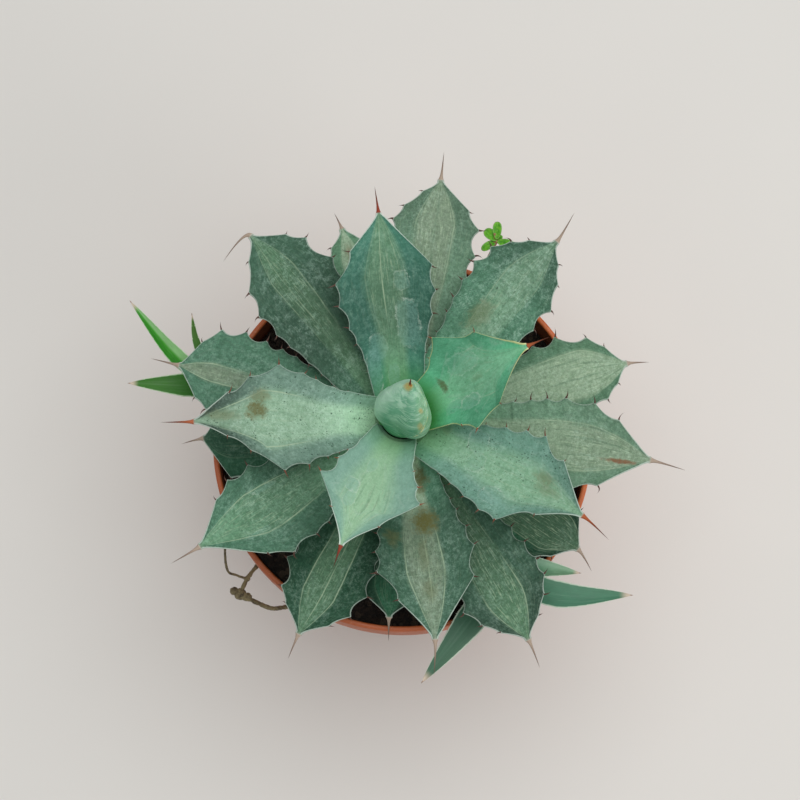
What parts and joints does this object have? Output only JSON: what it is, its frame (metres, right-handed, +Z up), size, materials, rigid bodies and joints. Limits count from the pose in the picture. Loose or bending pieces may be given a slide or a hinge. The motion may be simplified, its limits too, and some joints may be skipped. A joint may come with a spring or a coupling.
{
  "type": "potted agave plant",
  "caption": "Potted dwarf agave: a rosette of broad blue-green leaves with toothed edges and end spines round a wrapped bud, in a plain round pot of soil with offsets.",
  "frame": {"origin": "middle of the pot's flat underside, on the surface that the pot stands on", "axes": "+Z up along the pot's axis; +Y towards the back, where the rosette's middle is set 5.6 mm off the pot's axis; +X to the right in the view from the front"},
  "size_m": [0.2134, 0.2064, 0.1974],
  "materials": {
    "pot": "matte",
    "soil": "matte",
    "stem": "matte",
    "bud": "matte",
    "leaf": "matte",
    "bright_offset": "satin",
    "blue_offset": "satin",
    "weed": "satin",
    "dry_stalk": "matte"
  },
  "bodies": {
    "root": {"pot": "pot", "soil": "soil", "stem": "stem", "bud": "bud", "leaf_01": "leaf", "leaf_02": "leaf", "leaf_03": "leaf", "leaf_04": "leaf", "leaf_05": "leaf", "leaf_06": "leaf", "leaf_07": "leaf", "leaf_08": "leaf", "leaf_09": "leaf", "leaf_10": "leaf", "leaf_11": "leaf", "leaf_12": "leaf", "leaf_13": "leaf", "leaf_14": "leaf", "leaf_15": "leaf", "leaf_16": "leaf", "leaf_17": "leaf", "leaf_18": "leaf", "leaf_19": "leaf", "left_offset": "bright_offset", "right_offset": "blue_offset", "weed_sprig": "weed", "dry_stalk": "dry_stalk"}
  },
  "joints": []
}
